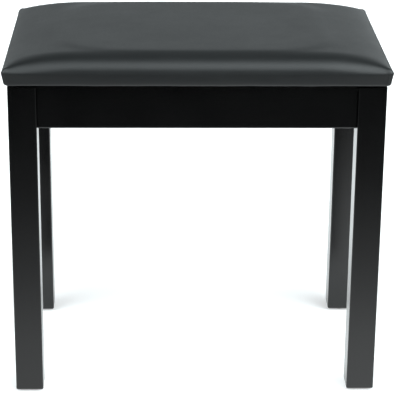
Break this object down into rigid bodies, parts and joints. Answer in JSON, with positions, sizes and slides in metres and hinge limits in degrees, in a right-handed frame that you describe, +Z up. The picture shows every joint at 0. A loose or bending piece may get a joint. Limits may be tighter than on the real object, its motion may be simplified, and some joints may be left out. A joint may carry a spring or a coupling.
{
  "type": "piano bench",
  "caption": "Upholstered piano bench with square black legs and a padded lift-up seat hinged over a shallow music compartment.",
  "frame": {"origin": "on the floor, under the middle of the bench", "axes": "+X along the bench, to the sitter's right when facing the piano side from the front; +Y from the front to the hinged back; +Z up"},
  "size_m": [0.545, 0.345, 0.515],
  "materials": {
    "black_lacquer": "satin black lacquer",
    "block_wood": "planed rubberwood, unfinished",
    "seat_plywood": "raw plywood",
    "floor_panel": "black-stained plywood",
    "zinc_steel": "zinc plated",
    "nickel_steel": "nickel plated",
    "staple_wire": "galvanised wire",
    "glide_plastic": "matte black nylon",
    "bumper_rubber": "matte black rubber",
    "seat_vinyl": "black faux leather, fine grain, satin",
    "seat_foam": "open-cell foam",
    "dust_cloth": "black non-woven cloth"
  },
  "bodies": {
    "frame": {"leg_front_left": "black_lacquer", "leg_front_right": "black_lacquer", "leg_back_left": "black_lacquer", "leg_back_right": "black_lacquer", "apron_front": "black_lacquer", "apron_back": "black_lacquer", "apron_left": "black_lacquer", "apron_right": "black_lacquer", "compartment_floor": "floor_panel", "corner_block_front_left": "block_wood", "corner_block_front_right": "block_wood", "corner_block_back_left": "block_wood", "corner_block_back_right": "block_wood", "corner_block_screws": "zinc_steel", "hanger_bolts": "zinc_steel", "bolt_washers": "zinc_steel", "bolt_nuts": "zinc_steel", "glide_front_left": "glide_plastic", "glide_front_right": "glide_plastic", "glide_back_left": "glide_plastic", "glide_back_right": "glide_plastic", "glide_nails": "zinc_steel", "lid_bumpers": "bumper_rubber", "hinge_left_frame_leaf": "nickel_steel", "hinge_left_pin": "nickel_steel", "hinge_right_frame_leaf": "nickel_steel", "hinge_right_pin": "nickel_steel", "hinge_frame_screws": "zinc_steel", "stay_frame_bracket": "nickel_steel", "stay_frame_bracket_screws": "zinc_steel", "stay_base_rivet": "nickel_steel"},
    "lid": {"seat_cover": "seat_vinyl", "seat_foam": "seat_foam", "seat_board": "seat_plywood", "dust_cover": "dust_cloth", "underside_staples": "staple_wire", "hinge_left_lid_leaf": "nickel_steel", "hinge_right_lid_leaf": "nickel_steel", "hinge_lid_screws": "zinc_steel", "stay_lid_bracket": "nickel_steel", "stay_lid_bracket_screws": "zinc_steel", "stay_lid_rivet": "nickel_steel"},
    "stay_lower": {"stay_lower_link": "nickel_steel", "stay_elbow_rivet": "nickel_steel"},
    "stay_upper": {"stay_upper_link": "nickel_steel", "stay_upper_link_rivet": "nickel_steel"}
  },
  "joints": [
    {"name": "lid_hinge", "type": "hinge", "parent": "frame", "child": "lid", "pos_m": [0, 0.167, 0.4697], "axis": [-1, 0, 0], "range_deg": [0, 80]},
    {"name": "stay_base_pivot", "type": "hinge", "parent": "frame", "child": "stay_lower", "pos_m": [0.0993, 0.129, 0.4277], "axis": [-1, 0, 0], "range_deg": [0, 83.7]},
    {"name": "stay_elbow_pivot", "type": "hinge", "parent": "stay_lower", "child": "stay_upper", "pos_m": [0.1016, 0.071, 0.427], "axis": [-1, 0, 0], "range_deg": [-97.2, 0]}
  ],
  "couplings": [
    {"joint": "stay_base_pivot", "follows": "lid_hinge", "ratio": 1.0446},
    {"joint": "stay_elbow_pivot", "follows": "lid_hinge", "ratio": -1.2133}
  ]
}
